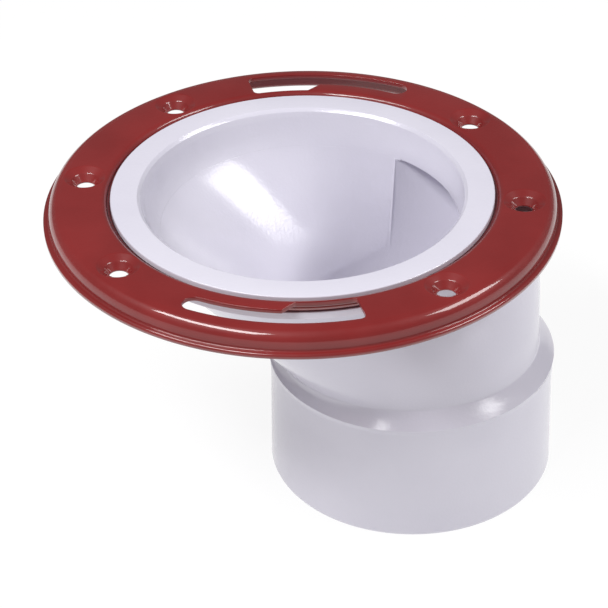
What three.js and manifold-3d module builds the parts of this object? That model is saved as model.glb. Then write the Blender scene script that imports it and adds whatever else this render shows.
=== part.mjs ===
// An offset closet flange: a moulded PVC body that carries a toilet's outlet sideways into a drain pipe,
// and a painted steel closet ring that is curled on under the body's rim and turns on it.
// Millimetres, +Z up. The origin is on the ring's axis, in the plane of the outlet's end, and +X points
// from the ring's axis to the outlet's axis.
import * as THREE from "three";
import { mergeVertices } from "three/addons/utils/BufferGeometryUtils.js";
import Module from "manifold-3d";

// ---- Driving dimensions ----

const HEIGHT = 112.4; // from the outlet's end up to the ring's top plate
const OFFSET = 37.9; // from the ring's axis to the outlet's axis

const RING_RADIUS = 88.9; // a 7 in closet ring
const RING_HEIGHT = 8.3; // from the floor up to the ring's top plate
const SHEET = 1.6; // thickness of the stamped steel
const WALL_RADIUS = 86.7; // where the ring's wall would meet its top plate if the bend were sharp
const WALL_FLARE = 0.4; // how much wider the wall is at its foot
const WALL_BEND = 4.6;
const FOOT_BEND = 0.7;
const COLLAR_RADIUS = 67; // inner face of the collar that hangs inside the ring
const COLLAR_BEND = 2.4;
const CURL_RADIUS = 65.3; // the collar's lower edge, curled in under the body's rim
const CURL_BEND = 1.5;
const CURL_TOP = 2.6; // depth at which the curl starts
const CURL_END = 4.2; // depth of its inner corner
const RING_TURN = -8; // degrees by which the ring stands turned on the body

const SCREW_CIRCLE = 75.8;
const SCREW_ANGLES = [0, 45, 135, 180, 225, 315]; // degrees round the ring
const SCREW_HOLE = 3.1; // radius
const DIMPLE_RADIUS = 5.2;
const DIMPLE_DEPTH = 2.8;
const BOSS_TOP = 6.4; // radius of the dimple's underside where it leaves the plate
const BOSS_END = 4.4; // and at its lower end
const BOSS_DEPTH = 4.4;

const SLOT_ANGLES = [90, 270]; // degrees round the ring
const SLOT_HALF = 22; // degrees that each slot runs to either side of its middle
const SLOT_OUTER = 80.8; // radii of the slot's edges
const SLOT_INNER = 73.6;
const SLOT_KEY_INNER = 69; // the key end, where a bolt's head goes in
const SLOT_STEP = 4; // degrees from the slot's middle to the step between its two widths
const SLOT_CORNER = 2.2;

const RIM_DROP = 0.4; // the rim's face lies this far below the ring's top plate
const RIM_RADIUS = 65.8;
const RIM_EDGE = 2.5; // depth of the rim's lower edge
const GROOVE_RADIUS = 63.6;
const FLANGE_RADIUS = 67.1; // the support flange that lies under the ring's collar
const FLANGE_TOP = 5.5; // depths of its two faces
const FLANGE_BOTTOM = 8.3;
const LIP_RADIUS = 57; // where the rim's flat face ends
const LIP_ROUND = 55.8;
const LIP_DROP = 0.9;
const BOWL_RADIUS = 54.3; // the bowl's inner wall, just under the rim
const BOWL_START = 3; // depth at which that wall starts
const BOWL_TAPER = 0.178; // how much the wall draws in for each millimetre of depth
const WALL = 4.6;

const KNEE_DEPTH = 11.4; // depth at which the throat's floor leaves the bowl's wall
const KNEE_SOFTNESS = 4;
const FLOOR_SLOPE = 1.2; // how far the throat's floor runs towards the outlet for each millimetre down
const SKIN_SLOPE = 0.95; // the same for the throat's outer surface
const THROAT_END = 53; // depth
const CREASE_X = 33.7; // where the throat meets the outlet's bore, at the bore's ceiling
const CREASE_LEAN = 0.053; // how far that crease leans back for each millimetre of depth
const CREASE_INSET = 0.2; // how far inside the bore's wall the throat's own circle passes

const BORE_RADIUS = 40.86;
const BORE_CEILING = 13.3; // depth
const NECK_TOP = 8; // depth of the neck's roof
const NECK_TOP_RADIUS = 43.9;
const NECK_RADIUS = 45.4;
const NECK_ROUND = 2;
const SHOULDER_TOP = 61.7; // depths at which the shoulder starts and ends
const SHOULDER_END = 66.9;
const SHOULDER_RADIUS = 50.9;
const HUB_RADIUS = 50.35; // just under the shoulder's bead
const HUB_START = 76.9; // depth
const HUB_END_RADIUS = 51;
const HUB_CHAMFER = 1;
const SOCKET_RADIUS = 44.6; // takes a 3 in pipe, 88.9 mm across
const SOCKET_END_RADIUS = 44.2;
const SOCKET_DEPTH = 38;

const AROUND = 64; // facets round each large turned surface
const HOLE_AROUND = 24; // facets round a screw's dimple
const THROAT_STEPS = 9;
const ARC_STEP = 45; // degrees of arc to each facet of a rounded corner
const CLEAR = 1; // how far a cutter runs past the surface that it cuts

// ---- Shapes ----

const wasm = await Module();
wasm.setup();

// The height of a level that lies some depth below the ring's top plate.
const level = (depth) => HEIGHT - depth;

const radians = THREE.MathUtils.degToRad;

const polar = (radius, degrees) =>
  new THREE.Vector2(radius * Math.cos(radians(degrees)), radius * Math.sin(radians(degrees)));

// An outline through the corners, each [across, up, radius], with an arc at each corner of some radius.
function rounded(corners) {
  return corners.flatMap(([across, up, radius], i) => {
    const corner = new THREE.Vector2(across, up);
    if (!radius) return [corner];
    const back = new THREE.Vector2(...corners[i - 1]).sub(corner).normalize();
    const ahead = new THREE.Vector2(...corners[i + 1]).sub(corner).normalize();
    const turn = Math.PI - Math.acos(back.dot(ahead));
    const side = Math.sign(ahead.cross(back));
    const centre = back.clone().add(ahead).normalize();
    centre.multiplyScalar(radius / Math.cos(turn / 2)).add(corner);
    const start = back.multiplyScalar(radius * Math.tan(turn / 2)).add(corner);
    const steps = Math.ceil(turn / radians(ARC_STEP));
    return Array.from({ length: steps + 1 }, (_, step) =>
      start.clone().rotateAround(centre, (side * turn * step) / steps));
  });
}

// The closed outline of a sheet whose upper surface is the given path.
function sheetOutline(path, thickness) {
  const underside = path.map((point, i) => {
    const before = path[Math.max(i - 1, 0)];
    const after = path[Math.min(i + 1, path.length - 1)];
    const along = after.clone().sub(before).normalize();
    return new THREE.Vector2(point.x + along.y * thickness, point.y - along.x * thickness);
  });
  return [...underside, ...path.toReversed(), underside[0]];
}

// A closed geometry as a solid that can be joined and cut.
function toSolid(geometry) {
  const bare = geometry.clone();
  bare.deleteAttribute("normal");
  bare.deleteAttribute("uv");
  const merged = mergeVertices(bare, 1e-4);
  const mesh = new wasm.Mesh({
    numProp: 3,
    vertProperties: merged.attributes.position.array,
    triVerts: Uint32Array.from(merged.index.array),
  });
  return new wasm.Manifold(mesh);
}

// A solid turned about the Z axis.
function turned(outline, facets = AROUND) {
  const geometry = new THREE.LatheGeometry(outline, facets).rotateX(Math.PI / 2);
  return toSolid(geometry);
}

// A solid whose level sections are circles, each { height, x, radius }, from the lowest to the highest.
function lofted(sections) {
  const geometry = new THREE.CylinderGeometry(1, 1, sections.length - 1, AROUND, sections.length - 1);
  geometry.rotateX(Math.PI / 2);
  const position = geometry.attributes.position;
  for (let i = 0; i < position.count; i++) {
    const { height, x, radius } = sections[Math.round(position.getZ(i) + (sections.length - 1) / 2)];
    position.setXYZ(i, x + radius * position.getX(i), radius * position.getY(i), height);
  }
  return toSolid(geometry);
}

// A solid's surface as a named mesh.
function toMesh(name, solid, material) {
  const { vertProperties, triVerts } = solid.getMesh();
  const geometry = new THREE.BufferGeometry();
  geometry.setAttribute("position", new THREE.BufferAttribute(vertProperties, 3));
  geometry.setIndex(new THREE.BufferAttribute(triVerts, 1));
  geometry.computeVertexNormals();
  const mesh = new THREE.Mesh(geometry, material);
  mesh.name = name;
  return mesh;
}

// ---- Closet ring ----

// The stamped sheet: curled collar, top plate, wall and foot lip.
function ringSheet() {
  const upperSurface = rounded([
    [CURL_RADIUS, level(CURL_END)],
    [COLLAR_RADIUS, level(CURL_TOP), CURL_BEND],
    [COLLAR_RADIUS, level(0), COLLAR_BEND],
    [WALL_RADIUS, level(0), WALL_BEND],
    [WALL_RADIUS + WALL_FLARE, level(RING_HEIGHT - SHEET), FOOT_BEND],
    [RING_RADIUS, level(RING_HEIGHT - SHEET)],
  ]);
  return turned(sheetOutline(upperSurface, SHEET));
}

// What a screw's dimple adds below the sheet.
function dimpleBoss(angle) {
  const { x, y } = polar(SCREW_CIRCLE, angle);
  const outline = rounded([
    [0, level(BOSS_DEPTH)],
    [BOSS_END, level(BOSS_DEPTH)],
    [BOSS_TOP, level(SHEET)],
    [BOSS_TOP, level(SHEET / 2)],
    [0, level(SHEET / 2)],
  ]);
  return turned(outline, HOLE_AROUND).translate(x, y, 0);
}

// What it takes away: the countersunk hollow and the screw's hole.
function dimpleHollow(angle) {
  const { x, y } = polar(SCREW_CIRCLE, angle);
  const outline = rounded([
    [0, level(BOSS_DEPTH + CLEAR)],
    [SCREW_HOLE, level(BOSS_DEPTH + CLEAR)],
    [SCREW_HOLE, level(DIMPLE_DEPTH)],
    [DIMPLE_RADIUS, level(0)],
    [DIMPLE_RADIUS, level(-CLEAR)],
    [0, level(-CLEAR)],
  ]);
  return turned(outline, HOLE_AROUND).translate(x, y, 0);
}

// A keyhole slot that follows the bolt circle, wide at the key end and narrow at the other, round, end.
function boltSlot(angle) {
  const narrowRadius = (SLOT_OUTER - SLOT_INNER) / 2;
  const narrowMiddle = (SLOT_OUTER + SLOT_INNER) / 2;
  const degreesOf = (length) => THREE.MathUtils.radToDeg(length / narrowMiddle);
  const narrowEnd = angle - SLOT_HALF + degreesOf(narrowRadius);
  const keyEnd = angle + SLOT_HALF;
  const corner = degreesOf(SLOT_CORNER);
  const stepHalf = degreesOf((SLOT_INNER - SLOT_KEY_INNER) / 2);
  const step = angle + SLOT_STEP;

  const shape = new THREE.Shape();
  shape.absarc(0, 0, SLOT_OUTER, radians(narrowEnd), radians(keyEnd - corner), false);
  const outerCorner = polar(SLOT_OUTER, keyEnd);
  const outerTurn = polar(SLOT_OUTER - SLOT_CORNER, keyEnd);
  shape.quadraticCurveTo(outerCorner.x, outerCorner.y, outerTurn.x, outerTurn.y);
  const innerCorner = polar(SLOT_KEY_INNER, keyEnd);
  const innerStart = polar(SLOT_KEY_INNER + SLOT_CORNER, keyEnd);
  const innerTurn = polar(SLOT_KEY_INNER, keyEnd - corner);
  shape.lineTo(innerStart.x, innerStart.y);
  shape.quadraticCurveTo(innerCorner.x, innerCorner.y, innerTurn.x, innerTurn.y);
  shape.absarc(0, 0, SLOT_KEY_INNER, radians(keyEnd - corner), radians(step + stepHalf), true);
  shape.absarc(0, 0, SLOT_INNER, radians(step - stepHalf), radians(narrowEnd), true);
  const end = polar(narrowMiddle, narrowEnd);
  shape.absarc(end.x, end.y, narrowRadius, radians(narrowEnd + 180), radians(narrowEnd + 360), false);

  const depth = SHEET + 2 * CLEAR;
  const geometry = new THREE.ExtrudeGeometry(shape, { depth, bevelEnabled: false, curveSegments: 8 });
  return toSolid(geometry.translate(0, 0, level(SHEET + CLEAR)));
}

function closetRing() {
  const joined = SCREW_ANGLES.reduce((ring, angle) => ring.add(dimpleBoss(angle)), ringSheet());
  const cutters = [...SCREW_ANGLES.map(dimpleHollow), ...SLOT_ANGLES.map(boltSlot)];
  return cutters.reduce((ring, cutter) => ring.subtract(cutter), joined);
}

// ---- Offset body ----

// How far the throat's floor has run towards the outlet at a depth: nothing above the knee, then a slope.
function floorRun(depth, slope) {
  const past = depth - KNEE_DEPTH;
  return (slope * (past + Math.hypot(past, KNEE_SOFTNESS))) / 2;
}

// The bowl's inner radius at a depth, without the throat.
const bowlRadius = (depth) =>
  BOWL_RADIUS - BOWL_TAPER * (Math.min(depth, KNEE_DEPTH) - BOWL_START);

// The half-width of the way through at a distance along X: the bowl's above the bore's ceiling, and the
// bore's below it.
function halfWidth(depth, x) {
  if (depth < BORE_CEILING) return Math.sqrt(bowlRadius(depth) ** 2 - x ** 2);
  return Math.sqrt((BORE_RADIUS - CREASE_INSET) ** 2 - (x - OFFSET) ** 2);
}

// The throat's level section: the circle through the floor and the two creases beside the outlet's bore,
// all of it a skin further out for the outer surface.
function throatSection(depth, skin) {
  const slope = skin > 0 ? SKIN_SLOPE : FLOOR_SLOPE;
  const slantedSkin = skin * Math.hypot(1, slope);
  const wallX = -bowlRadius(depth);
  const floorX = Math.max(wallX + floorRun(depth, slope) - slantedSkin, wallX - skin);
  const creaseX = CREASE_X - CREASE_LEAN * Math.max(depth - BORE_CEILING, 0);
  const creaseY = halfWidth(depth, creaseX) + skin;
  const width = creaseX - floorX;
  const radius = (width ** 2 + creaseY ** 2) / (2 * width);
  return { height: level(depth), x: floorX + radius, radius };
}

// The throat's sections from a lower depth up to a higher one.
function throatSections(lowest, highest, skin) {
  return Array.from({ length: THROAT_STEPS + 1 }, (_, step) =>
    throatSection(lowest + ((highest - lowest) * step) / THROAT_STEPS, skin));
}

// The rim with its groove and support flange, down to the bowl's outer wall.
function rimAndFlange() {
  return turned(rounded([
    [0, level(KNEE_DEPTH)],
    [bowlRadius(KNEE_DEPTH) + WALL, level(KNEE_DEPTH)],
    [bowlRadius(FLANGE_BOTTOM) + WALL, level(FLANGE_BOTTOM)],
    [FLANGE_RADIUS, level(FLANGE_BOTTOM)],
    [FLANGE_RADIUS, level(FLANGE_TOP)],
    [GROOVE_RADIUS, level(FLANGE_TOP)],
    [GROOVE_RADIUS, level(RIM_EDGE)],
    [RIM_RADIUS, level(RIM_EDGE)],
    [RIM_RADIUS, level(RIM_DROP)],
    [0, level(RIM_DROP)],
  ]));
}

// The neck round the outlet's bore, its shoulder and the hub below it.
function neckAndHub() {
  const outline = rounded([
    [0, 0],
    [HUB_END_RADIUS - HUB_CHAMFER, 0],
    [HUB_END_RADIUS, HUB_CHAMFER],
    [HUB_RADIUS, level(HUB_START)],
    [SHOULDER_RADIUS, level(SHOULDER_END)],
    [NECK_RADIUS, level(SHOULDER_TOP)],
    [NECK_TOP_RADIUS, level(NECK_TOP), NECK_ROUND],
    [0, level(NECK_TOP)],
  ]);
  return turned(outline).translate(OFFSET, 0, 0);
}

// The way through the bowl and the throat.
function bowlCavity() {
  const lip = [
    { height: level(BOWL_START), x: 0, radius: BOWL_RADIUS },
    { height: level(LIP_DROP), x: 0, radius: LIP_ROUND },
    { height: level(RIM_DROP), x: 0, radius: LIP_RADIUS },
    { height: level(-CLEAR), x: 0, radius: LIP_RADIUS },
  ];
  return lofted([...throatSections(THROAT_END, BOWL_START + CLEAR, 0), ...lip]);
}

// The outlet's bore, and the pipe socket in the hub, which ends at a ledge.
function outletBore() {
  return turned([
    new THREE.Vector2(0, -CLEAR),
    new THREE.Vector2(SOCKET_RADIUS, -CLEAR),
    new THREE.Vector2(SOCKET_END_RADIUS, SOCKET_DEPTH),
    new THREE.Vector2(BORE_RADIUS, SOCKET_DEPTH),
    new THREE.Vector2(BORE_RADIUS, level(BORE_CEILING)),
    new THREE.Vector2(0, level(BORE_CEILING)),
  ]).translate(OFFSET, 0, 0);
}

function offsetBody() {
  const throat = lofted(throatSections(SHOULDER_END, FLANGE_BOTTOM - CLEAR, WALL));
  const outside = rimAndFlange().add(throat).add(neckAndHub());
  return outside.subtract(bowlCavity()).subtract(outletBore());
}

// ---- Materials ----

const whitePvc = new THREE.MeshStandardMaterial({ color: 0xe9e8ef, roughness: 0.35, metalness: 0 });
const redPaint = new THREE.MeshStandardMaterial({ color: 0x8c2a2a, roughness: 0.3, metalness: 0 });

// ---- Assembly ----

const body = toMesh("offset_body", offsetBody(), whitePvc);
const ring = toMesh("closet_ring", closetRing(), redPaint);
ring.rotation.z = radians(RING_TURN);

const offsetFlange = new THREE.Group();
offsetFlange.add(body, ring);

export default offsetFlange;
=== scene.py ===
"""The looks of an offset closet flange: a white PVC body and the red painted steel ring on its rim."""

import math

import bmesh
import bpy
import numpy as np
from mathutils import Matrix, Vector
from mathutils.geometry import delaunay_2d_cdt


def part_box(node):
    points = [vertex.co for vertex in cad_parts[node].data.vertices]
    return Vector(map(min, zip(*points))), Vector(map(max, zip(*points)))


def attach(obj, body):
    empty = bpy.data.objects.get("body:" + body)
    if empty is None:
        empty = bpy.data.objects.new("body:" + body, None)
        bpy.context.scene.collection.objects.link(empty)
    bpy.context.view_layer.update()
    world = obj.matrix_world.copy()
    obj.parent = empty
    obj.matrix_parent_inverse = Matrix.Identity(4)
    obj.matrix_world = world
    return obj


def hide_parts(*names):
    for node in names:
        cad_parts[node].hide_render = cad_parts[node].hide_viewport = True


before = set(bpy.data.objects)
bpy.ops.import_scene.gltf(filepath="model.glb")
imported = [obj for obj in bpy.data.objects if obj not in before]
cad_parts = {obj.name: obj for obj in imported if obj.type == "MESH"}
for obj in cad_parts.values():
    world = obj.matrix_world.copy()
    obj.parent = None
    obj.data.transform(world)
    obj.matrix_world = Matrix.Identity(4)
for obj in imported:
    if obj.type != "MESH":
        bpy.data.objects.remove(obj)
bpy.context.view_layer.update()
RING_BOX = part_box("closet_ring")
BODY_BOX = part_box("offset_body")

# ---- Driving dimensions ----
# They are in millimetres and degrees where nothing else is said. Depths are counted down from the ring's
# top plate. Names that end in _ROUND, _BEND, _CORNER or _EDGE are radii of rounded edges.

MM = 0.001  # metres in a millimetre

HEIGHT = RING_BOX[1][2] / MM  # of the ring's top plate above the outlet's end
RING_HEIGHT = (RING_BOX[1][2] - RING_BOX[0][2]) / MM
RING_RADIUS = 88.9
RING_TURN = -8  # how the ring stands at rest
SHEET = 1.6  # the ring's thickness
WALL_RADIUS = 86.7
WALL_FLARE = 0.4  # how much further out the wall stands at its foot
WALL_BEND = 4.6
FOOT_BEND = 0.7
COLLAR_RADIUS = 67.0
COLLAR_BEND = 2.4
CURL_RADIUS = 65.3  # of the collar's lower edge, which is curled in under the rim
CURL_BEND = 1.5
CURL_TOP = 2.6
CURL_END = 4.2

SCREW_CIRCLE = 75.8  # radius on which the screw holes' centres lie
SCREW_ANGLES = (0, 45, 135, 180, 225, 315)
SCREW_HOLE = 3.1
DIMPLE_RADIUS = 7.3  # of the wide dish round each hole
DIMPLE_ROUND = 0.8
DIMPLE_DEPTH = 3.9  # at the hole's edge
DIMPLE_REACH = 7.9  # distance from the hole's centre past which the plate is untouched
CUP_RADIUS = 4.8  # where the dish turns into a steeper cup
CUP_TOP = 1.5  # depth of that turn
CUP_ROUND = 0.7
BOSS_TOP = 6.4  # distance from the hole's centre where the underside starts down
BOSS_END = 4.4  # distance where it comes to the boss's flat end
BOSS_DEPTH = 4.4  # depth of the boss's end
BOSS_ROUND = 1.2
BOSS_EDGE = 0.25

SLOT_ANGLES = (90, 270)  # where the slots' middles lie
SLOT_HALF = 22  # half the angle a slot takes up
SLOT_OUTER = 80.8  # radii of its long edges about the ring's axis
SLOT_INNER = 73.6
SLOT_KEY_INNER = 69.0  # the inner edge of the wide part, which a bolt's head goes through
SLOT_STEP = 4  # angle from the slot's middle to the wide part
SLOT_CORNER = 2.0
SLOT_STEP_CORNER = 0.8
SLOT_EDGE = 0.22

OFFSET = 37.9  # from the ring's axis to the outlet's
WALL = 4.6  # thickness of the bowl and the throat
RIM_DROP = HEIGHT - BODY_BOX[1][2] / MM  # depth of the rim's face
RIM_RADIUS = 65.8
RIM_UNDERSIDE = 2.5
RIM_ROUND = 0.45
GROOVE_RADIUS = 63.6
GROOVE_ROUND = 0.5
GROOVE_EDGE = 0.3
FLANGE_RADIUS = 67.1
FLANGE_TOP = 5.5
FLANGE_BOTTOM = 8.3
FLANGE_TOP_EDGE = 0.35
FLANGE_BOTTOM_EDGE = 0.2
LIP_RADIUS = 56.6  # of the rim's inner edge
LIP_END = 55.5  # radius where the bevel inside that edge ends
LIP_DROP = 1.5  # depth of the same place
LIP_EDGE = 0.4
BOWL_RADIUS = 55.1
BOWL_START = 3.0
BOWL_TAPER = 0.27  # loss of radius for each millimetre of depth
BOWL_EASE = 3.0  # depth over which the taper dies away at the knee

KNEE_DEPTH = 11.4  # where the bowl's wall turns into the scoop's sloping floor
KNEE_SOFTNESS = 4.0
FLOOR_SLOPE = 1.2  # run of the floor for each millimetre of depth
SKIN_SLOPE = 0.95  # the same for the throat's outer surface
THROAT_END = 53.0
CREASE_X = 33.7  # how far along X the scoop meets the outlet's bore, at its ceiling
CREASE_LEAN = 0.053  # how far it moves towards the ring's axis for each millimetre of depth
CREASE_INSET = 0.2  # how far it stands inside the bore's radius
CREASE_SETTLE = 20.0  # depth below the ceiling at which it has that inset
CREASE_BLEND = 0.45  # width over which scoop and bore run into each other at the crease
CREASE_BEAD = 0.4  # height of the moulding line that runs down each crease
CREASE_BEAD_WIDTH = 0.35
CREASE_FADE = (THROAT_END - 16, THROAT_END - 2)  # depths between which blend and bead die away
CREASE_TURN = (67.5, 75.5)  # angles about the sections' upright line between which the creases lie
CREASE_SIDE = 45  # angle past the crease over which the floor's wider blend takes over
FLOOR_BLEND = 8.0  # width over which the scoop's floor runs into the bore
FLOOR_EASE = (15.0, 50.0)  # depths between which that width is reached
FLOOR_END = THROAT_END + FLOOR_BLEND
OUTER_BLEND = 7.0  # width over which the throat's outer surface runs into the neck
OUTER_FADE = 12  # height above the shoulder from which that width dies away
SHARP = 1e-6  # the width of a blend that isn't rounded at all, which can't be 0

BORE_RADIUS = 40.86
BORE_CEILING = 13.3
CEILING_ROUND = 1.0  # between the ceiling and the bore
CEILING_EDGE = 0.7  # between the bowl's wall and the ceiling
CEILING_STEPS = (2, 5, 9, 14, 20, 30)  # how far past the bowl's wall the ceiling's outlines lie
DRAFT = 0.02  # rise from one outline to the next on a nearly level face
NECK_TOP = 8.0
NECK_TOP_RADIUS = 43.9
NECK_RADIUS = 45.4
ROOF_STEPS = (0.15, 0.6, 3, 12)  # how far inside the neck's edge the outlines of its roof lie
SHOULDER_TOP = 61.7
SHOULDER_END = 66.9
SHOULDER_ROUND = 1.4
SHOULDER_RADIUS = 50.9
SKIN_END = SHOULDER_END + 1  # depth past which the throat's outer surface is inside the hub
HUB_RADIUS = 50.35  # at the hub's slight waist
HUB_START = 76.9  # depth of the waist
HUB_ROUND = 60
HUB_END_RADIUS = 51.0
HUB_CHAMFER = 0.6
HUB_EDGE = 0.15
LEDGE = 0.3  # height of the thin ledge round the hub's upper edge
LEDGE_DEPTH = 0.2
SOCKET_RADIUS = 44.6
SOCKET_END_RADIUS = 44.2
SOCKET_DEPTH = 38.0
SOCKET_ROUND = 0.5
SOCKET_MOUTH_ROUND = 0.7

# ---- How fine the meshes are ----

RING_SIDES = 720  # points round the ring
BODY_SIDES = 320  # points round each outline of the body
DIMPLE_SIDES = 96  # points round a dimple
DIMPLE_ROWS = 32  # circles in it, after those closest to the hole
HOLE_STEPS = (0, 0.08, 0.2, 0.35)  # distances of the closest circles from a screw hole's edge
HOLE_LAST_STEP = 0.6  # where the dimple's even circles start
SLOT_SPACING = 0.5  # between the points along a slot
SLOT_CAP_SIDES = 24  # round its narrow end
EDGE_TURNS = (90, 60, 30, 0)  # across its rounded edges
CREASE_STEP = 0.2  # angle between the points near the creases
BOWL_ROW = 0.9  # heights between the body's outlines
SHAFT_ROW = 1.1
SHAFT_FIRST_ROW = 0.8
HUB_ROW = 2.5
CEILING_EDGE_SIDES = 7
CEILING_ROUND_SIDES = 6
ARC_STEP = math.radians(12)  # the widest turn between the points of an arc
CORNER_STEP = math.radians(15)  # the same at a slot's corners
CORNER_CLEARANCE = 1.1  # part of a corner's radius inside which plain points make way for its arc
PLATE_MARGIN = 0.15  # clearance of the plate's first and last circles from the dimples
CIRCLE_MARGIN = 0.1  # clearance of the circles between them from those two
DIMPLE_MARGIN = 0.25  # clearance of their points from a dimple
SLOT_MARGIN = 0.7  # and from a slot
PLATE_INNER = SCREW_CIRCLE - DIMPLE_REACH - PLATE_MARGIN
PLATE_OUTER = SCREW_CIRCLE + DIMPLE_REACH + PLATE_MARGIN
SAME_HEIGHT = 1e-9
SAME_POINT = 1e-6
MERGE_DISTANCE = 0.001  # closer points of a finished mesh are made one
MIDDLE_MARGIN = 1e-4  # by which a triangle's middle clears the open middle of the ring

# ---- Looks ----

COLOUR_NOISE = (0.35, 0.65)  # the part of a noise's range over which the colour drifts
ROUGHNESS_NOISE = (0.3, 0.7)  # and the roughness

# ---- Camera and lights ----

CAMERA_DISTANCE = 796.8
CAMERA_ELEVATION = 34.29
CAMERA_ROLL = 1.11
RIGHT_SHIFT = 0.21
UP_SHIFT = 39.59
SENSOR_WIDTH = 36.0
FOCAL_LENGTH = 137.94
CLIP_END = 20  # metres
LIGHT_DISTANCE = 1.2  # metres
WORLD_STRENGTH = 0.16
GROUND_HALF = 4.0  # metres
GROUND_DROP = 0.2
GROUND_GREY = 0.14
GROUND_GLOW = 0.88  # the light it gives off, which keeps it pale


# ---- Outlines ----


def level(depth):
    """The height of a level some depth below the ring's top plate."""
    return HEIGHT - depth


def on_circle(turn):
    """Points of a circle of radius 1 at the given turns."""
    return np.stack((np.cos(turn), np.sin(turn)), axis=1)


def evenly_round(count):
    """Turns that divide a circle into equal parts."""
    return np.linspace(0, 2 * math.pi, count + 1)[:-1]


def quarter_turn(sides):
    """Turns that divide a quarter of a circle into equal parts, with both ends."""
    return np.linspace(0, math.pi / 2, sides + 1)


def turned_by(vector, angle):
    """A flat vector turned counterclockwise."""
    across, up = vector
    cosine, sine = math.cos(angle), math.sin(angle)
    return np.array((across * cosine - up * sine, across * sine + up * cosine))


def rounded(corners, step=ARC_STEP):
    """Points through the corners, with arcs at those that have a radius.

    A corner is (across, up) or (across, up, radius).
    """
    points = []
    for i, (across, up, *radius) in enumerate(corners):
        corner = np.array((across, up), float)
        if not radius:
            points.append(corner)
            continue
        back = np.array(corners[i - 1][:2]) - corner
        ahead = np.array(corners[(i + 1) % len(corners)][:2]) - corner
        back = back / np.linalg.norm(back)
        ahead = ahead / np.linalg.norm(ahead)
        turn = math.pi - math.acos(float(np.clip(back @ ahead, -1, 1)))
        side = math.copysign(1, ahead[0] * back[1] - ahead[1] * back[0])
        middle = (back + ahead) / np.linalg.norm(back + ahead)
        centre = corner + middle * radius[0] / math.cos(turn / 2)
        start = corner + back * radius[0] * math.tan(turn / 2)
        steps = max(2, math.ceil(turn / step))
        for k in range(steps + 1):
            points.append(centre + turned_by(start - centre, side * turn * k / steps))
    return np.array(points)


def normals_of(points):
    """The left-hand normals of an open path."""
    along = np.gradient(points, axis=0)
    along /= np.linalg.norm(along, axis=1)[:, None]
    return np.stack((-along[:, 1], along[:, 0]), axis=1)


def pushed_out(outline, distance):
    """A counterclockwise outline grown by a distance."""
    along = np.roll(outline, -1, axis=0) - np.roll(outline, 1, axis=0)
    along /= np.linalg.norm(along, axis=1)[:, None]
    return outline + distance * np.stack((along[:, 1], -along[:, 0]), axis=1)


def inside(points, outline):
    """Which points lie inside a closed outline."""
    x, y = points.T
    result = np.zeros(len(points), bool)
    for (x0, y0), (x1, y1) in zip(outline, np.roll(outline, -1, axis=0)):
        crosses = (y0 > y) != (y1 > y)
        if y1 != y0:
            result ^= crosses & (x < (x1 - x0) * (y - y0) / (y1 - y0) + x0)
    return result


def eased(part):
    """A part between 0 and 1 with a smooth start and end."""
    part = np.clip(part, 0, 1)
    return part * part * (3 - 2 * part)


def faded(depth, start, end):
    """1 above the starting depth, 0 below the end."""
    return float(np.clip((end - depth) / (end - start), 0, 1))


# ---- Meshes ----


class Shell:
    """A closed mesh under construction, in millimetres."""

    def __init__(self):
        self.points = []
        self.faces = []

    def loop(self, flat, height):
        """Adds a closed loop of points, at one height or one each, and returns their numbers."""
        first = len(self.points)
        heights = np.broadcast_to(height, len(flat))
        self.points.extend(map(tuple, np.column_stack((flat, heights))))
        return list(range(first, first + len(flat)))

    def bridge(self, low, high):
        """Joins two closed loops of the same length with quads."""
        for i in range(len(low)):
            after = (i + 1) % len(low)
            self.faces.append((low[i], low[after], high[after], high[i]))

    def bridge_all(self, loops):
        """Joins each loop to the next."""
        for low, high in zip(loops, loops[1:]):
            self.bridge(low, high)

    def made(self, name, material, angle=0):
        """The mesh as an object, with its faces out and smooth, turned about Z."""
        turn = math.radians(angle)
        points = np.array(self.points)
        across = points[:, 0] * math.cos(turn) - points[:, 1] * math.sin(turn)
        points[:, 1] = points[:, 0] * math.sin(turn) + points[:, 1] * math.cos(turn)
        points[:, 0] = across
        mesh = bpy.data.meshes.new(name)
        mesh.from_pydata((points * MM).tolist(), [], self.faces)
        clean(mesh)
        mesh.shade_smooth()
        mesh.materials.append(material)
        piece = bpy.data.objects.new(name, mesh)
        bpy.context.scene.collection.objects.link(piece)
        return piece


def clean(mesh):
    """Merges points that coincide, drops loose ones and turns every face of the closed mesh outwards."""
    working = bmesh.new()
    working.from_mesh(mesh)
    bmesh.ops.remove_doubles(working, verts=working.verts, dist=MERGE_DISTANCE * MM)
    loose = [v for v in working.verts if not v.link_faces]
    bmesh.ops.delete(working, geom=loose, context="VERTS")
    bmesh.ops.recalc_face_normals(working, faces=working.faces)
    if working.calc_volume(signed=True) < 0:
        bmesh.ops.reverse_faces(working, faces=working.faces)
    working.to_mesh(mesh)
    working.free()


# ---- Closet ring: the sheet ----


def sheet_path():
    """The sheet's upper surface from the collar's lower edge to the foot's edge, as (radius, height)."""
    foot = level(RING_HEIGHT - SHEET)
    return rounded([
        (CURL_RADIUS, level(CURL_END)),
        (COLLAR_RADIUS, level(CURL_TOP), CURL_BEND),
        (COLLAR_RADIUS, level(0), COLLAR_BEND),
        (WALL_RADIUS, level(0), WALL_BEND),
        (WALL_RADIUS + WALL_FLARE, foot, FOOT_BEND),
        (RING_RADIUS, foot),
    ])


def bend_parts(radius):
    """How far a radius reaches into the collar's bend and into the wall's, from 0 to 1 across each."""
    inner = np.clip(COLLAR_RADIUS + COLLAR_BEND - radius, 0, COLLAR_BEND) / COLLAR_BEND
    outer = np.clip(radius - (WALL_RADIUS - WALL_BEND), 0, WALL_BEND) / WALL_BEND
    return inner, outer


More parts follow.
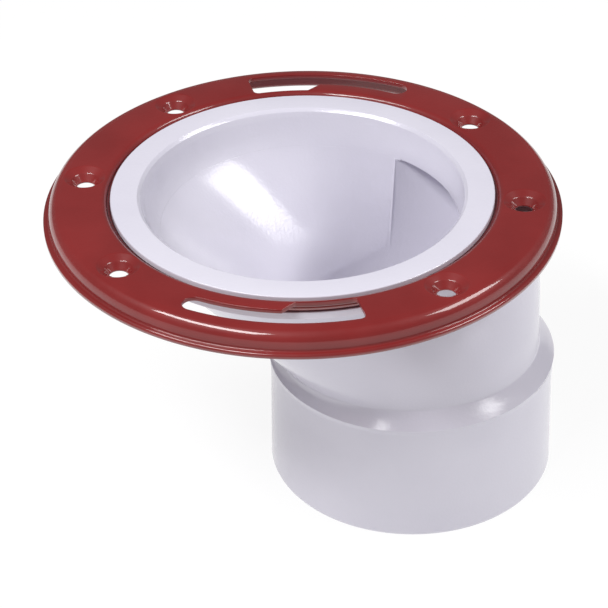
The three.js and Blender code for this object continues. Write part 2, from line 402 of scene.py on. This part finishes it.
def plate_drop(radius):
    """How far the sheet's upper surface lies below the plate near its two bends."""
    inner = np.clip(COLLAR_RADIUS + COLLAR_BEND - radius, 0, COLLAR_BEND)
    outer = np.clip(radius - (WALL_RADIUS - WALL_BEND), 0, WALL_BEND)
    inner_drop = COLLAR_BEND - np.sqrt(COLLAR_BEND ** 2 - inner ** 2)
    return inner_drop + WALL_BEND - np.sqrt(WALL_BEND ** 2 - outer ** 2)


def underside(radius):
    """The point of the underside below a point of the upper surface near the plate, as (radius, drop)."""
    inner, outer = bend_parts(radius)
    lean = outer - inner
    return radius - SHEET * lean, plate_drop(radius) + SHEET * np.sqrt(1 - lean ** 2)


def unrolled(radius):
    """The distance along the upper surface, equal to the radius on the flat plate."""
    inner, outer = bend_parts(radius)
    run_in = COLLAR_BEND * (np.arcsin(inner) - inner)
    run_out = WALL_BEND * (np.arcsin(outer) - outer)
    return radius - run_in + run_out


def laid_flat(shell, loop):
    """A loop's points on the upper surface, each moved out to its distance along the sheet."""
    points = np.array([shell.points[i][:2] for i in loop])
    radius = np.hypot(*points.T)
    return points / radius[:, None] * unrolled(radius)[:, None]


# ---- Closet ring: bolt slots ----


def arc(radius, start, stop):
    """Points along an arc about the ring's axis."""
    count = max(2, math.ceil(abs(stop - start) * radius / SLOT_SPACING))
    return radius * on_circle(np.linspace(start, stop, count + 1))


def slot_outline(angle):
    """The points round a keyhole slot, counterclockwise."""
    narrow = (SLOT_OUTER - SLOT_INNER) / 2
    middle = (SLOT_OUTER + SLOT_INNER) / 2
    per_mm = 1 / middle
    end = math.radians(angle - SLOT_HALF) + narrow * per_mm
    key = math.radians(angle + SLOT_HALF)
    step = math.radians(angle + SLOT_STEP)
    half_step = (SLOT_INNER - SLOT_KEY_INNER) / 2 * per_mm
    outer = arc(SLOT_OUTER, end, key)
    key_inner = arc(SLOT_KEY_INNER, key, step + half_step)
    inner = arc(SLOT_INNER, step - half_step, end)
    centre = np.array((middle * math.cos(end), middle * math.sin(end)))
    half_turn = np.linspace(end + math.pi, end + 2 * math.pi, SLOT_CAP_SIDES + 1)[1:-1]
    cap = centre + narrow * on_circle(half_turn)
    return rounded(with_room_for_arcs([
        *outer[:-1],
        (*outer[-1], SLOT_CORNER),
        (*key_inner[0], SLOT_CORNER),
        *key_inner[1:-1],
        (*key_inner[-1], SLOT_STEP_CORNER),
        (*inner[0], SLOT_STEP_CORNER),
        *inner[1:],
        *cap,
    ]), CORNER_STEP)


def with_room_for_arcs(corners):
    """The corners without the plain points that the arcs of the rounded ones take the place of."""
    arcs = [(np.array(c[:2]), c[2] * CORNER_CLEARANCE) for c in corners if len(c) == 3]
    kept = []
    for corner in corners:
        near = any(np.linalg.norm(np.array(corner[:2]) - place) < reach for place, reach in arcs)
        if len(corner) == 3 or not near:
            kept.append(tuple(float(v) for v in corner))
    return kept


def add_slot(shell, angle):
    """Adds a slot's rounded edges and its cut walls; returns its upper and lower loops on the plate."""
    outline = slot_outline(angle)
    edges = []
    for height, sign in ((level(0), -1), (level(SHEET), 1)):
        edge = []
        for turn in np.radians(EDGE_TURNS):
            grown = pushed_out(outline, SLOT_EDGE * (1 - math.cos(turn)))
            edge.append((grown, height + sign * SLOT_EDGE * (1 - math.sin(turn))))
        edges.append(edge)
    upper, lower = edges
    loops = [shell.loop(grown, height) for grown, height in upper + lower[::-1]]
    shell.bridge_all(loops)
    return loops[0], loops[-1]


# ---- Closet ring: dimpled screw holes ----


def screw_centre(angle):
    turn = math.radians(angle)
    return SCREW_CIRCLE * np.array((math.cos(turn), math.sin(turn)))


def dimple_drop(distance):
    """How far the upper surface sinks at a distance from a screw hole's centre."""
    path = rounded([
        (DIMPLE_REACH, 0),
        (DIMPLE_RADIUS, 0, DIMPLE_ROUND),
        (CUP_RADIUS, CUP_TOP, CUP_ROUND),
        (SCREW_HOLE, DIMPLE_DEPTH),
    ])[::-1]
    return np.interp(distance, path[:, 0], path[:, 1])


def soft_step(value, reach):
    """Max(value, 0) with its corner rounded over the given reach to either side."""
    part = np.clip(value + reach, 0, 2 * reach)
    return np.where(value > reach, value, part ** 2 / (4 * reach))


def boss_drop(distance):
    """How far the underside sinks at the same distance."""
    floor = BOSS_DEPTH - SHEET
    sunk = floor / (BOSS_TOP - BOSS_END) * soft_step(BOSS_TOP - distance, BOSS_ROUND)
    return floor - soft_step(floor - sunk, BOSS_EDGE)


def add_dimple(shell, angle):
    """Adds a screw's dimple with its hole; returns its upper and lower loops on the plate."""
    centre = screw_centre(angle)
    around = on_circle(evenly_round(DIMPLE_SIDES))
    close = [SCREW_HOLE + step for step in HOLE_STEPS]
    radii = np.concatenate((close, np.linspace(SCREW_HOLE + HOLE_LAST_STEP, DIMPLE_REACH, DIMPLE_ROWS)))
    above, below = [], []
    for radius in radii:
        flat = centre + radius * around
        distance = np.hypot(*flat.T)
        above.append(shell.loop(flat, level(plate_drop(distance) + dimple_drop(radius))))
        low_distance, low_drop = underside(distance)
        low = flat * (low_distance / distance)[:, None]
        below.append(shell.loop(low, level(low_drop + boss_drop(radius))))
    shell.bridge_all(above)
    shell.bridge(above[0], below[0])
    shell.bridge_all(below)
    return above[-1], below[-1]


# ---- Closet ring: the plate round its openings ----


def plate_radii(path):
    """Radii of the plate's circles of points: its first and last, the bends' and the screw circle."""
    low, high = PLATE_INNER + CIRCLE_MARGIN, PLATE_OUTER - CIRCLE_MARGIN
    between = [float(p[0]) for p in path if low < p[0] < high]
    return sorted({PLATE_INNER, PLATE_OUTER, SCREW_CIRCLE, *between})


def clear_of_openings(points):
    """Which points of the plate keep clear of the dimples and the slots."""
    clear = np.ones(len(points), bool)
    for angle in SCREW_ANGLES:
        clear &= np.hypot(*(points - screw_centre(angle)).T) > DIMPLE_REACH + DIMPLE_MARGIN
    for angle in SLOT_ANGLES:
        clear &= ~inside(points, pushed_out(slot_outline(angle), SLOT_MARGIN))
    return clear


def fill_plate(shell, rows, holes, flat_rows, flat_holes):
    """Fills the plate with triangles between its circles of points and round its holes."""
    loops = [*rows, *holes]
    flat = np.concatenate((*flat_rows, *flat_holes))
    edges, first = [], 0
    for index, loop in enumerate(loops):
        if index == 0 or index >= len(rows) - 1:
            edges += [(first + i, first + (i + 1) % len(loop)) for i in range(len(loop))]
        first += len(loop)
    filled = delaunay_2d_cdt([Vector(p) for p in flat], edges, [], 0, SAME_POINT)
    points, _, triangles, origins = filled[:4]
    assert len(points) == len(flat), "the plate's points crossed an edge"
    numbers = [i for loop in loops for i in loop]
    original = [numbers[o[0]] for o in origins]
    triangles = np.array([tuple(t) for t in triangles])
    centres = np.array([p[:] for p in points])[triangles].mean(axis=1)
    open_middle = np.hypot(*flat_rows[0].T).min() * math.cos(math.pi / RING_SIDES)
    keep = np.hypot(*centres.T) > open_middle + MIDDLE_MARGIN
    for outline in flat_holes:
        keep &= ~inside(centres, outline)
    shell.faces += [tuple(original[i] for i in triangle) for triangle in triangles[keep]]


def add_plate(shell, path, openings, side):
    """Adds one side of the plate, with the openings' loops in it; returns its first and last circles."""
    around = on_circle(evenly_round(RING_SIDES))
    rows, flat_rows = [], []
    for radius in plate_radii(path):
        distance, drop = underside(radius) if side else (radius, plate_drop(radius))
        row = shell.loop(distance * around, level(drop))
        if radius in (PLATE_INNER, PLATE_OUTER):
            chosen = np.ones(RING_SIDES, bool)
        else:
            chosen = clear_of_openings(radius * around)
        rows.append([i for i, keep in zip(row, chosen) if keep])
        flat_rows.append((unrolled(radius) * around)[chosen])
    holes = [opening[side] for opening in openings]
    flat_holes = [laid_flat(shell, opening[0]) for opening in openings]
    fill_plate(shell, rows, holes, flat_rows, flat_holes)
    return rows[0], rows[-1]


def add_side(shell, path, openings, side):
    """Adds the sheet's upper side (0) or underside (1); returns its loops at the collar and the foot."""
    around = on_circle(evenly_round(RING_SIDES))
    outline = path - side * SHEET * normals_of(path)
    first, last = add_plate(shell, path, openings, side)
    bent = path[:, 1] < level(0) - SAME_HEIGHT
    inner = outline[bent & (path[:, 0] < PLATE_INNER)]
    outer = outline[bent & (path[:, 0] > PLATE_OUTER)]
    inner_loops = [shell.loop(radius * around, height) for radius, height in inner] + [first]
    outer_loops = [last] + [shell.loop(radius * around, height) for radius, height in outer]
    shell.bridge_all(inner_loops)
    shell.bridge_all(outer_loops)
    return inner_loops[0], outer_loops[-1]


def closet_ring(material):
    shell = Shell()
    path = sheet_path()
    dimples = [add_dimple(shell, angle) for angle in SCREW_ANGLES]
    slots = [add_slot(shell, angle) for angle in SLOT_ANGLES]
    above, below = [add_side(shell, path, dimples + slots, side) for side in (0, 1)]
    for upper, lower in zip(above, below):
        shell.bridge(upper, lower)
    return shell.made("closet_ring_fine", material, RING_TURN)


# ---- Offset body: the parts of its outlines ----


class Section:
    """Level outlines of the body, as distances from an upright line that all of them go round."""

    def __init__(self):
        self.centre = OFFSET / 2
        crease = np.radians(np.arange(*CREASE_TURN, CREASE_STEP))
        self.turn = np.sort(np.concatenate((evenly_round(BODY_SIDES), crease, 2 * math.pi - crease)))

    def circle(self, x, radius):
        """The distance to a circle centred on the X axis."""
        shift = self.centre - x
        return -shift * np.cos(self.turn) + np.sqrt(radius ** 2 - (shift * np.sin(self.turn)) ** 2)

    def from_outlet(self):
        """Each point's angle from the outlet's direction, the shorter way round."""
        return np.minimum(self.turn, 2 * math.pi - self.turn)

    def past_crease(self):
        """0 on the outlet's side of the creases, rising to 1 on the scoop's side."""
        return eased((np.degrees(self.from_outlet()) - CREASE_TURN[1]) / CREASE_SIDE)

    def points(self, distance):
        across = self.centre + distance * np.cos(self.turn)
        return np.column_stack((across, distance * np.sin(self.turn)))


def blended(first, second, reach):
    """The larger of two outlines, running into each other over a reach."""
    near = np.clip(reach - np.abs(first - second), 0, None) / reach
    return np.maximum(first, second) + near ** 2 * reach / 4


def past_knee(depth, ease):
    """The depth below the knee, or 0 above it, with the change eased."""
    past = depth - KNEE_DEPTH
    return (past + math.hypot(past, ease)) / 2


def bowl_radius(depth):
    return BOWL_RADIUS - BOWL_TAPER * (depth - past_knee(depth, BOWL_EASE) - BOWL_START)


def half_width(depth, crease):
    """Half the way through at the crease: the bowl's at the bore's ceiling, settling to the bore's below."""
    beside_bowl = math.sqrt(bowl_radius(min(depth, BORE_CEILING)) ** 2 - CREASE_X ** 2)
    if depth < BORE_CEILING:
        return beside_bowl
    start = math.hypot(beside_bowl, CREASE_X - OFFSET)
    settled = min((depth - BORE_CEILING) / CREASE_SETTLE, 1)
    reach = start + (BORE_RADIUS - CREASE_INSET - start) * settled * settled * (3 - 2 * settled)
    return math.sqrt(reach ** 2 - (crease - OFFSET) ** 2)


def throat_circle(depth, skin):
    """The centre and radius of the throat's level section, a skin further out for the outer surface."""
    slope = SKIN_SLOPE if skin else FLOOR_SLOPE
    slanted_skin = skin * math.hypot(1, slope)
    wall = -bowl_radius(depth)
    floor = max(wall + slope * past_knee(depth, KNEE_SOFTNESS) - slanted_skin, wall - skin)
    crease = CREASE_X - CREASE_LEAN * max(depth - BORE_CEILING, 0)
    side = half_width(depth, crease) + skin
    width = crease - floor
    radius = (width ** 2 + side ** 2) / (2 * width)
    return floor + radius, radius


def throat_blend(section, depth):
    """The width over which scoop and bore run into each other: narrow at the creases, wide at the floor."""
    at_floor = section.past_crease() * FLOOR_BLEND * eased(1 - faded(depth, *FLOOR_EASE))
    return SHARP + CREASE_BLEND * faded(depth, *CREASE_FADE) + at_floor * faded(depth, THROAT_END, FLOOR_END)


def crease_bead(section, depth):
    """How far the moulding lines on the two creases stand into the way through."""
    crease = CREASE_X - CREASE_LEAN * (depth - BORE_CEILING)
    across = crease - section.centre
    side = half_width(depth, crease)
    away = np.abs(section.from_outlet() - math.atan2(side, across))
    height = CREASE_BEAD * faded(depth, *CREASE_FADE)
    return height * np.exp(-(away * math.hypot(across, side) / CREASE_BEAD_WIDTH) ** 2)


# ---- Offset body: its outlines in order, from the outlet's end up, in under the rim and down again ----


def rows_about(section, x, corners):
    """Circles centred on the X axis, for corners given as (radius, height)."""
    return [(section.circle(x, radius), height) for radius, height in corners]


def with_rows_between(corners, spacing):
    """The corners with further points between them, so that none are further apart in height."""
    points = [corners[0]]
    for (low_radius, low), (high_radius, high) in zip(corners, corners[1:]):
        steps = max(1, math.ceil((high - low) / spacing))
        for step in range(1, steps + 1):
            radius = low_radius + (high_radius - low_radius) * step / steps
            points.append((radius, low + (high - low) * step / steps))
    return points


def hub_rows(section):
    """Outlines of the hub, the shoulder and the neck, from the outlet's end up to the support flange."""
    corners = rounded([
        ((SOCKET_RADIUS + HUB_END_RADIUS) / 2, 0),
        (HUB_END_RADIUS - HUB_CHAMFER, 0, HUB_EDGE),
        (HUB_END_RADIUS, 2 * HUB_CHAMFER, HUB_EDGE),
        (HUB_RADIUS, level(HUB_START), HUB_ROUND),
        (SHOULDER_RADIUS - LEDGE_DEPTH, level(SHOULDER_END + 2 * LEDGE)),
        (SHOULDER_RADIUS, level(SHOULDER_END + LEDGE), HUB_EDGE / 2),
        (SHOULDER_RADIUS, level(SHOULDER_END), HUB_EDGE),
        (NECK_RADIUS, level(SHOULDER_TOP), SHOULDER_ROUND),
        (NECK_TOP_RADIUS, level(FLANGE_BOTTOM)),
    ])
    rows = []
    for radius, height in with_rows_between(corners, HUB_ROW):
        depth = HEIGHT - height
        outline = section.circle(OFFSET, radius)
        if depth < SKIN_END:
            throat = section.circle(*throat_circle(depth, WALL))
            reach = SHARP + OUTER_BLEND * faded(depth, SHOULDER_TOP - OUTER_FADE, SHOULDER_END)
            outline = blended(outline, throat, reach)
        rows.append((outline, height))
    return rows


def flange_rows(section):
    """Outlines round the support flange and over the neck's roof."""
    corners = rounded([
        (bowl_radius(FLANGE_BOTTOM) + WALL, level(FLANGE_BOTTOM)),
        (FLANGE_RADIUS, level(FLANGE_BOTTOM - DRAFT), FLANGE_BOTTOM_EDGE),
        (FLANGE_RADIUS, level(NECK_TOP + DRAFT)),
    ])[1:]
    neck = section.circle(OFFSET, NECK_TOP_RADIUS)
    rows = [(np.maximum(outline, neck), height) for outline, height in rows_about(section, 0, corners)]
    flange = section.circle(0, FLANGE_RADIUS)
    for step, drawn_in in enumerate(ROOF_STEPS):
        roof = section.circle(OFFSET, NECK_TOP_RADIUS - drawn_in)
        rows.append((np.maximum(flange, roof), level(NECK_TOP - DRAFT * step)))
    return rows


def rim_rows(section):
    """Outlines over the support flange, up the groove and the rim, and in over the rim's face."""
    return rows_about(section, 0, rounded([
        (FLANGE_RADIUS, level(NECK_TOP)),
        (FLANGE_RADIUS, level(FLANGE_TOP), FLANGE_TOP_EDGE),
        (GROOVE_RADIUS, level(FLANGE_TOP), GROOVE_ROUND),
        (GROOVE_RADIUS, level(RIM_UNDERSIDE), GROOVE_EDGE),
        (RIM_RADIUS, level(RIM_UNDERSIDE), GROOVE_EDGE),
        (RIM_RADIUS, level(RIM_DROP), RIM_ROUND),
        (LIP_RADIUS, level(RIM_DROP), LIP_EDGE),
        (LIP_END, level(LIP_DROP), LIP_EDGE),
        (BOWL_RADIUS, level(BOWL_START)),
    ])[1:-1])


def bowl_rows(section):
    """Outlines down the bowl's wall to the rounded edge of the ceiling."""
    depths = np.arange(BOWL_START, BORE_CEILING - CEILING_EDGE, BOWL_ROW)
    return [(section.circle(*throat_circle(depth, 0)), level(depth)) for depth in depths]


def ceiling_rows(section):
    """Outlines from the bowl's wall over its rounded lower edge and along the ceiling of the bore."""
    bore = section.circle(OFFSET, BORE_RADIUS - CEILING_ROUND)
    rows = []
    for turn in quarter_turn(CEILING_EDGE_SIDES):
        depth = BORE_CEILING - CEILING_EDGE * (1 - math.sin(turn))
        throat = section.circle(*throat_circle(depth, 0))
        grown = throat + CEILING_EDGE * (1 - math.cos(turn))
        rows.append((np.maximum(throat, np.minimum(bore, grown)), level(depth)))
    throat = section.circle(*throat_circle(BORE_CEILING, 0))
    for step, growth in enumerate(CEILING_STEPS, 1):
        outline = np.maximum(throat, np.minimum(bore, throat + growth))
        rows.append((outline, level(BORE_CEILING + DRAFT * step)))
    return rows


def shaft_rows(section, first):
    """Outlines of the scoop and the bore together, from the ceiling's depth down past the scoop's end."""
    corner = [
        (first + CEILING_ROUND * (1 - math.cos(turn)), BORE_RADIUS - CEILING_ROUND * (1 - math.sin(turn)))
        for turn in quarter_turn(CEILING_ROUND_SIDES)[1:]
    ]
    depths = np.arange(first + CEILING_ROUND + SHAFT_FIRST_ROW, FLOOR_END, SHAFT_ROW)
    rows = []
    for depth, radius in corner + [(depth, BORE_RADIUS) for depth in depths]:
        throat = section.circle(*throat_circle(depth, 0))
        bore = section.circle(OFFSET, radius)
        if depth > THROAT_END:
            throat = np.minimum(throat, bore)
        outline = blended(throat, bore, throat_blend(section, depth))
        rows.append((outline - crease_bead(section, depth), level(depth)))
    return rows


def socket_rows(section):
    """Outlines of the bore below the scoop and of the pipe socket, to the outlet's end."""
    return rows_about(section, OFFSET, rounded([
        (BORE_RADIUS, level(FLOOR_END)),
        (BORE_RADIUS, SOCKET_DEPTH, SOCKET_ROUND),
        (SOCKET_END_RADIUS, SOCKET_DEPTH, SOCKET_ROUND),
        (SOCKET_RADIUS, 0, SOCKET_MOUTH_ROUND),
        ((SOCKET_RADIUS + HUB_END_RADIUS) / 2, 0),
    ])[:-1])


def offset_body(material):
    shell = Shell()
    section = Section()
    rows = hub_rows(section) + flange_rows(section) + rim_rows(section)
    rows += bowl_rows(section) + ceiling_rows(section)
    rows += shaft_rows(section, HEIGHT - rows[-1][1]) + socket_rows(section)
    loops = [shell.loop(section.points(outline), height) for outline, height in rows]
    shell.bridge_all(loops + loops[:1])
    return shell.made("offset_body_fine", material)


# ---- Materials ----


class Looks:
    """A node material built one call at a time. Scales count a noise's features in each metre."""

    def __init__(self, name):
        self.material = bpy.data.materials.new(name)
        self.material.use_nodes = True
        self.tree = self.material.node_tree
        self.shader = self.tree.nodes["Principled BSDF"]
        self.place = self.add("ShaderNodeTexCoord").outputs["Object"]

    def add(self, kind, **settings):
        node = self.tree.nodes.new(kind)
        for name, value in settings.items():
            setattr(node, name, value)
        return node

    def link(self, output, socket):
        self.tree.links.new(output, socket)

    def drive(self, name, output):
        """Feeds one of the shader's inputs."""
        self.link(output, self.shader.inputs[name])

    def set(self, **values):
        """Sets the shader's inputs to values that are the same all over."""
        for name, value in values.items():
            self.shader.inputs[name.replace("_", " ")].default_value = value

    def noise(self, scale, detail):
        node = self.add("ShaderNodeTexNoise")
        node.inputs["Scale"].default_value = scale
        node.inputs["Detail"].default_value = detail
        self.link(self.place, node.inputs["Vector"])
        return node.outputs["Fac"]

    def ranged(self, value, low, high, to_low, to_high):
        node = self.add("ShaderNodeMapRange")
        sockets = ("From Min", "From Max", "To Min", "To Max")
        for socket, number in zip(sockets, (low, high, to_low, to_high)):
            node.inputs[socket].default_value = number
        self.link(value, node.inputs["Value"])
        return node.outputs["Result"]

    def colour(self, low, high, scale, detail):
        """Lets the base colour drift between two colours."""
        node = self.add("ShaderNodeMix", data_type="RGBA")
        self.link(self.ranged(self.noise(scale, detail), *COLOUR_NOISE, 0, 1), node.inputs["Factor"])
        node.inputs["A"].default_value = (*low, 1)
        node.inputs["B"].default_value = (*high, 1)
        self.drive("Base Color", node.outputs["Result"])

    def roughness(self, low, high, scale, detail):
        """Lets the roughness drift between two values."""
        self.drive("Roughness", self.ranged(self.noise(scale, detail), *ROUGHNESS_NOISE, low, high))

    def bump(self, scale, detail, distance, strength=1.0, under=None):
        """A shallow relief, on top of another one where that is given."""
        node = self.add("ShaderNodeBump")
        node.inputs["Strength"].default_value = strength
        node.inputs["Distance"].default_value = distance
        self.link(self.noise(scale, detail), node.inputs["Height"])
        if under is not None:
            self.link(under, node.inputs["Normal"])
        return node.outputs["Normal"]


def linear(*channels):
    """A colour given in 0 to 255 display values, in the renderer's linear ones."""
    return tuple(((c / 255 + 0.055) / 1.055) ** 2.4 if c > 10 else c / 255 / 12.92 for c in channels)


def white_pvc():
    looks = Looks("white_pvc")
    looks.set(IOR=1.53)
    looks.colour(linear(212, 209, 222), linear(219, 216, 228), scale=18, detail=4)
    looks.roughness(0.12, 0.19, scale=60, detail=5)
    grain = looks.bump(scale=900, detail=3, distance=0.00005)
    looks.drive("Normal", looks.bump(scale=35, detail=2, distance=0.0002, strength=0.5, under=grain))
    return looks.material


def red_paint():
    looks = Looks("red_painted_steel")
    looks.set(IOR=1.5, Specular_IOR_Level=0.25, Coat_Weight=1.0, Coat_IOR=1.45, Coat_Roughness=0.05)
    looks.colour(linear(123, 30, 30), linear(132, 35, 35), scale=40, detail=4)
    looks.roughness(0.4, 0.5, scale=120, detail=5)
    looks.drive("Normal", looks.bump(scale=420, detail=2, distance=0.00006))
    return looks.material


def pale_floor():
    looks = Looks("pale_floor")
    looks.set(Base_Color=(GROUND_GREY, GROUND_GREY, GROUND_GREY, 1), Roughness=1.0, Specular_IOR_Level=0.0)
    looks.set(Emission_Color=(1, 1, 1, 1), Emission_Strength=GROUND_GLOW)
    return looks.material


# ---- Studio ----


def add_camera():
    """A long lens, a little over 34 degrees above the ring, looking along +Y."""
    elevation = math.radians(CAMERA_ELEVATION)
    roll = math.radians(CAMERA_ROLL)
    forward = Vector((0, math.cos(elevation), -math.sin(elevation)))
    up = Vector((0, math.sin(elevation), math.cos(elevation)))
    right = Vector((1, 0, 0))
    place = Vector((0, 0, HEIGHT)) - CAMERA_DISTANCE * forward - RIGHT_SHIFT * right - UP_SHIFT * up
    rolled_right = right * math.cos(roll) - up * math.sin(roll)
    rolled_up = right * math.sin(roll) + up * math.cos(roll)
    axes = Matrix((rolled_right, rolled_up, -forward)).transposed().to_4x4()
    data = bpy.data.cameras.new("camera")
    data.sensor_width = SENSOR_WIDTH
    data.lens = FOCAL_LENGTH
    data.clip_end = CLIP_END
    camera = bpy.data.objects.new("camera", data)
    bpy.context.scene.collection.objects.link(camera)
    camera.matrix_world = Matrix.Translation(place * MM) @ axes
    bpy.context.scene.camera = camera


def add_light(name, azimuth, elevation, size, power):
    """A softbox that faces the ring from a direction.

    Azimuth 0 is straight behind the ring and 90 to its right. The size is in metres, the power in watts.
    """
    turn = math.radians(azimuth)
    rise = math.radians(elevation)
    away = Vector((math.sin(turn) * math.cos(rise), math.cos(turn) * math.cos(rise), math.sin(rise)))
    data = bpy.data.lights.new(name, "AREA")
    data.shape = "RECTANGLE"
    data.size, data.size_y = size
    data.energy = power
    light = bpy.data.objects.new(name, data)
    bpy.context.scene.collection.objects.link(light)
    light.location = Vector((0, 0, HEIGHT * MM)) + LIGHT_DISTANCE * away
    light.rotation_euler = (-away).to_track_quat("-Z", "Y").to_euler()


def add_floor():
    mesh = bpy.data.meshes.new("floor")
    corners = [(GROUND_HALF * x, GROUND_HALF * y, 0) for x, y in ((-1, -1), (1, -1), (1, 1), (-1, 1))]
    mesh.from_pydata(corners, [], [(0, 1, 2, 3)])
    mesh.materials.append(pale_floor())
    floor = bpy.data.objects.new("floor", mesh)
    floor.location.z = -GROUND_DROP * MM
    bpy.context.scene.collection.objects.link(floor)


def add_studio():
    world = bpy.data.worlds.new("studio")
    bpy.context.scene.world = world
    world.use_nodes = True
    background = world.node_tree.nodes["Background"]
    background.inputs["Color"].default_value = (1, 1, 1, 1)
    background.inputs["Strength"].default_value = WORLD_STRENGTH
    add_light("left_softbox", azimuth=-128, elevation=54, size=(0.85, 0.26), power=14.0)
    add_light("right_softbox", azimuth=97, elevation=42, size=(0.6, 0.32), power=7.0)
    add_floor()


# ---- Assembly ----

bpy.context.scene.view_settings.view_transform = "Standard"
add_camera()
add_studio()

body = offset_body(white_pvc())
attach(body, "body")
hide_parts("offset_body")

ring = closet_ring(red_paint())
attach(ring, "ring")
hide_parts("closet_ring")
